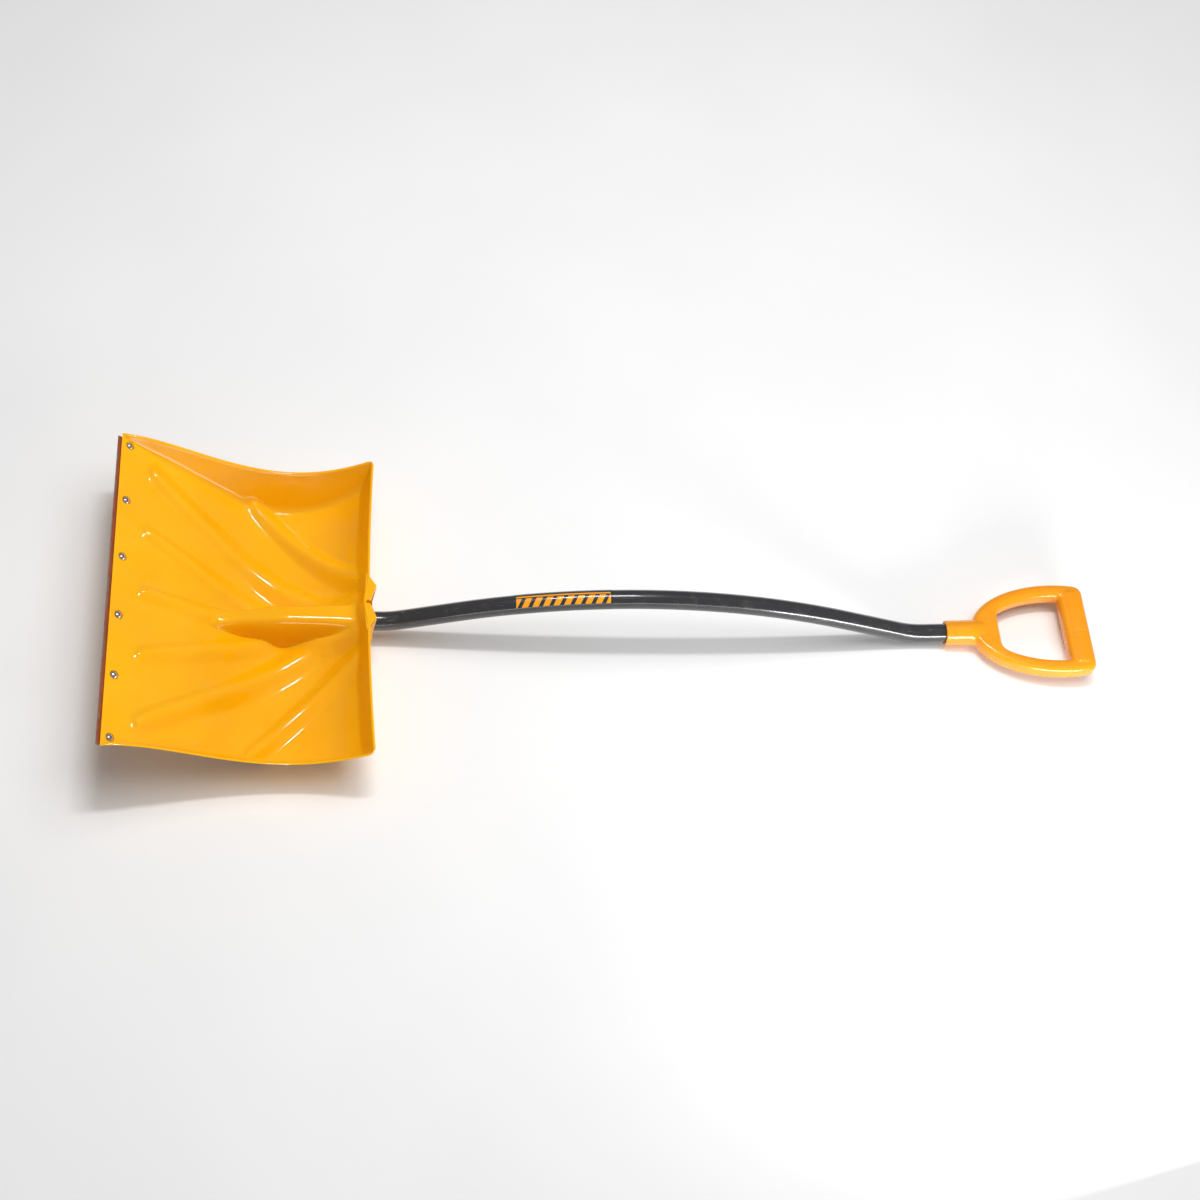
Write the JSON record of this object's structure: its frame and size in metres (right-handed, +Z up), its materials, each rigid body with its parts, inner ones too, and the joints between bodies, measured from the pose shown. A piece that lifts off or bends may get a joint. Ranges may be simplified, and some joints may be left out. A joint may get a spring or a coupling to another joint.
{
  "type": "snow shovel",
  "caption": "Snow shovel with a ribbed plastic scoop blade, a riveted wear strip, a bent steel tube handle and a plastic D-grip.",
  "frame": {"origin": "Middle of the shovel's length and width, on the ground it lies on with its face up.", "axes": "+X runs along the shovel from the cutting edge to the hand grip, +Y across the blade, +Z up out of the scoop."},
  "size_m": [1.3074, 0.4638, 0.121],
  "materials": {
    "blade_plastic": "glossy moulded polypropylene, warm yellow-orange",
    "strip_metal": "worn brown-bronze coated steel",
    "rivet_metal": "bright, lightly scratched",
    "mandrel_steel": "snapped, dull",
    "tube_paint": "glossy charcoal powder coat",
    "decal_film": "printed film, dark ground with plain orange bars",
    "grip_plastic": "smooth moulded polypropylene, a little more satin than the blade",
    "screw_steel": "zinc plated"
  },
  "bodies": {
    "root": {"blade": "blade_plastic", "wear_strip": "strip_metal", "wear_strip_rivets": "rivet_metal", "rivet_mandrels": "mandrel_steel", "handle_tube": "tube_paint", "handle_decal": "decal_film", "d_grip": "grip_plastic", "socket_screws": "screw_steel", "grip_screw": "screw_steel"}
  },
  "joints": []
}
